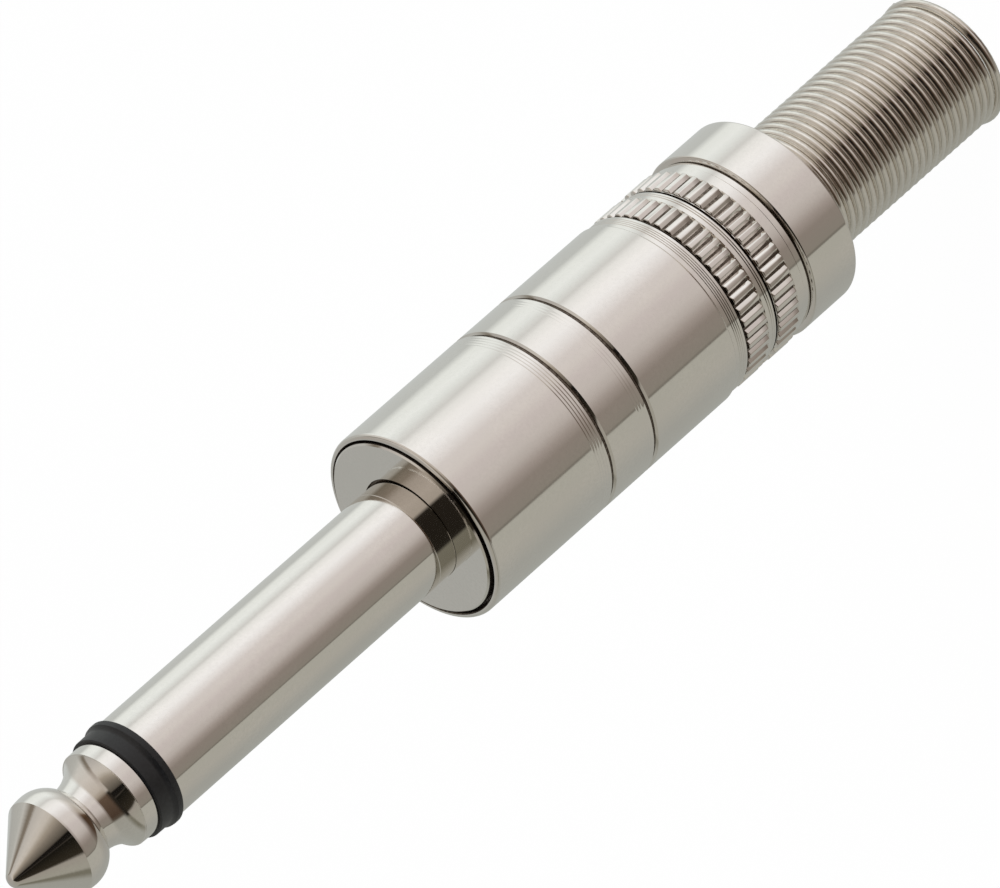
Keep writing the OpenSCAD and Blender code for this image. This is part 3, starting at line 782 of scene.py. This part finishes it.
def make_world():
    world = bpy.data.worlds.new("studio")
    bpy.context.scene.world = world
    world.use_nodes = True
    nodes, links = world.node_tree.nodes, world.node_tree.links
    nodes.clear()
    place = nodes.new("ShaderNodeTexCoord")
    split = nodes.new("ShaderNodeSeparateXYZ")
    links.new(place.outputs["Generated"], split.inputs[0])
    angle = compass_angle(nodes, links, split)
    sky = panels(nodes, links, angle, ABOVE)
    for stops, start, end, side in BELTS:
        share = span(nodes, links, split.outputs["Z"], 0, 1, start, end)
        mix = nodes.new("ShaderNodeMix")
        mix.data_type = "RGBA"
        links.new(share, mix.inputs["Factor"])
        links.new(panels(nodes, links, angle, stops), mix.inputs[6 if side == "lower" else 7])
        links.new(sky, mix.inputs[7 if side == "lower" else 6])
        sky = mix.outputs[2]
    strips, soft, white = (nodes.new("ShaderNodeBackground") for _ in range(3))
    links.new(sky, strips.inputs["Color"])
    soft.inputs["Color"].default_value = (1, 1, 1, 1)
    soft.inputs["Strength"].default_value = SOFT_LIGHT
    white.inputs["Color"].default_value = (1, 1, 1, 1)
    path = nodes.new("ShaderNodeLightPath")
    to_metal, to_camera = nodes.new("ShaderNodeMixShader"), nodes.new("ShaderNodeMixShader")
    links.new(path.outputs["Is Glossy Ray"], to_metal.inputs["Fac"])
    links.new(soft.outputs[0], to_metal.inputs[1])
    links.new(strips.outputs[0], to_metal.inputs[2])
    links.new(path.outputs["Is Camera Ray"], to_camera.inputs["Fac"])
    links.new(to_metal.outputs[0], to_camera.inputs[1])
    links.new(white.outputs[0], to_camera.inputs[2])
    links.new(to_camera.outputs[0], nodes.new("ShaderNodeOutputWorld").inputs["Surface"])

make_world()
print("belts of panels:", len(BELTS) + 1)

# %% [markdown]
# Two soft lamps give the plastics and the floor their shading. The metal gets its light from the panels
# alone, so the lamps are kept out of reflections.

# %% Lamps
LAMP_AIM, LAMP_SIZE = Vector((0, 0, 0.04)), 0.6

def lamp(name, place, power):
    data = bpy.data.lights.new(name, "AREA")
    data.shape = "DISK"
    data.size = LAMP_SIZE
    data.energy = power
    obj = bpy.data.objects.new(name, data)
    obj.location = place
    obj.rotation_euler = (LAMP_AIM - Vector(place)).to_track_quat("-Z", "Y").to_euler()
    obj.visible_glossy = False
    obj.visible_camera = False
    bpy.context.scene.collection.objects.link(obj)

lamp("key_panel", (0.45, -0.5, 0.6), 4.0)
lamp("fill_panel", (-0.6, -0.2, 0.4), 2.0)
print("lamps: 2, %.1f m wide" % LAMP_SIZE)

# %% [markdown]
# ## Camera
# The photo looks at the plug from 60 degrees off its axis, with the tip nearer and the picture turned so
# that the tip points down to the left. A long lens keeps the strips almost parallel.

# %% Camera
TILT, ROLL = math.radians(60.2), math.radians(131.38)
AIM_Z, AIM_SIDE, DISTANCE = 0.03760, 0.0003, 0.541
SENSOR_MM, FOCAL_PX, WIDTH_PX = 36.0, 10075.0, 1000.0

def make_camera():
    data = bpy.data.cameras.new("camera")
    data.sensor_width = SENSOR_MM
    data.lens = FOCAL_PX * SENSOR_MM / WIDTH_PX
    data.clip_end = 20
    camera = bpy.data.objects.new("camera", data)
    out = Vector((math.sin(TILT) * math.cos(VIEW_AZ), math.sin(TILT) * math.sin(VIEW_AZ), math.cos(TILT)))
    right = Vector((-math.sin(VIEW_AZ), math.cos(VIEW_AZ), 0))
    up = out.cross(right)
    turned_right = right * math.cos(ROLL) - up * math.sin(ROLL)
    turned_up = right * math.sin(ROLL) + up * math.cos(ROLL)
    aim = Vector((0, 0, AIM_Z)) + AIM_SIDE * right
    place = aim + out * DISTANCE
    camera.matrix_world = Matrix((
        (turned_right.x, turned_up.x, out.x, place.x), (turned_right.y, turned_up.y, out.y, place.y),
        (turned_right.z, turned_up.z, out.z, place.z), (0, 0, 0, 1)))
    bpy.context.scene.collection.objects.link(camera)
    bpy.context.scene.camera = camera
    print("camera at", [round(c, 3) for c in place])

make_camera()
bpy.context.scene.view_settings.view_transform = "Standard"
